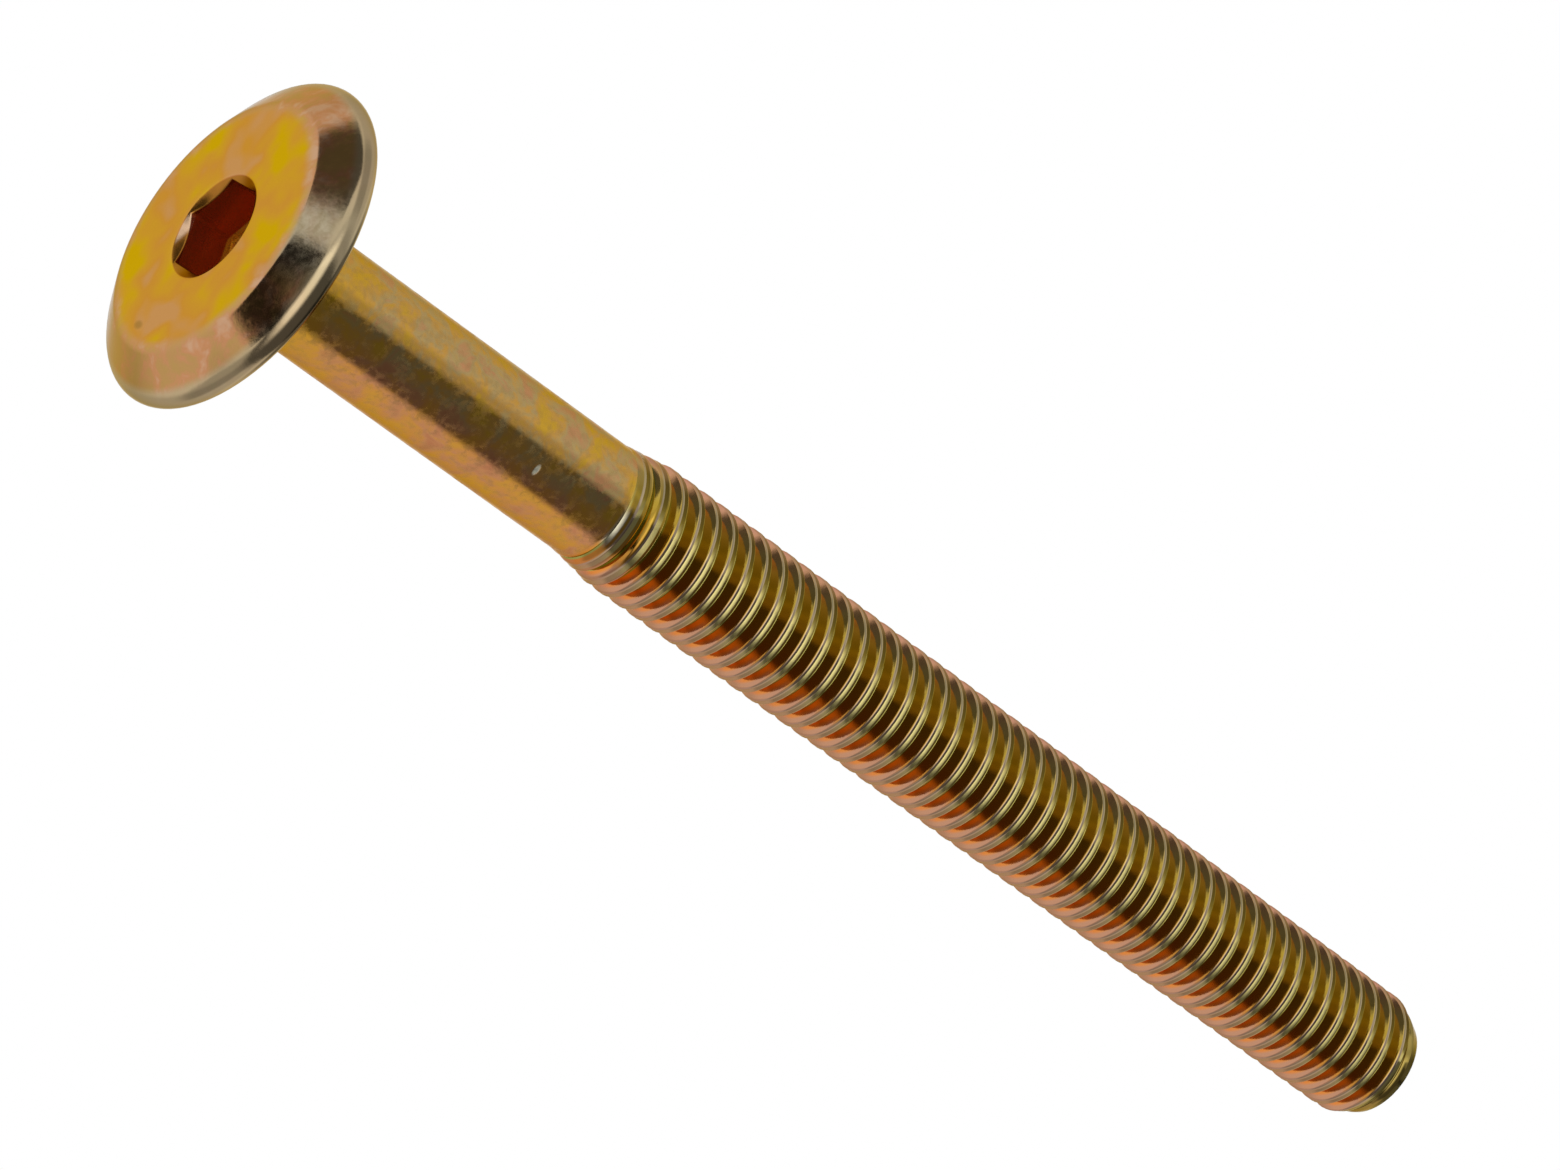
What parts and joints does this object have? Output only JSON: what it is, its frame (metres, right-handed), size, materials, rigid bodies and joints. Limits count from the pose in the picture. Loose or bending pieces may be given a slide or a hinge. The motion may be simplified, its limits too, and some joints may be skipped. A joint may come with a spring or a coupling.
{
  "type": "flat head connector screw",
  "caption": "Connector screw with a wide flat bevelled head, hex socket, plain shank and a long metric thread with a chamfered tip.",
  "frame": {"origin": "centre of the head's flat face, on which the screw stands", "axes": "+Z along the axis from the head to the tip; the hex socket has two of its corners on the Y axis"},
  "size_m": [0.0148, 0.0148, 0.0714],
  "materials": {
    "yellow_zinc": "yellow chromated zinc plating, smooth, with soft iridescent patches"
  },
  "bodies": {
    "root": {"connector_screw": "yellow_zinc"}
  },
  "joints": []
}
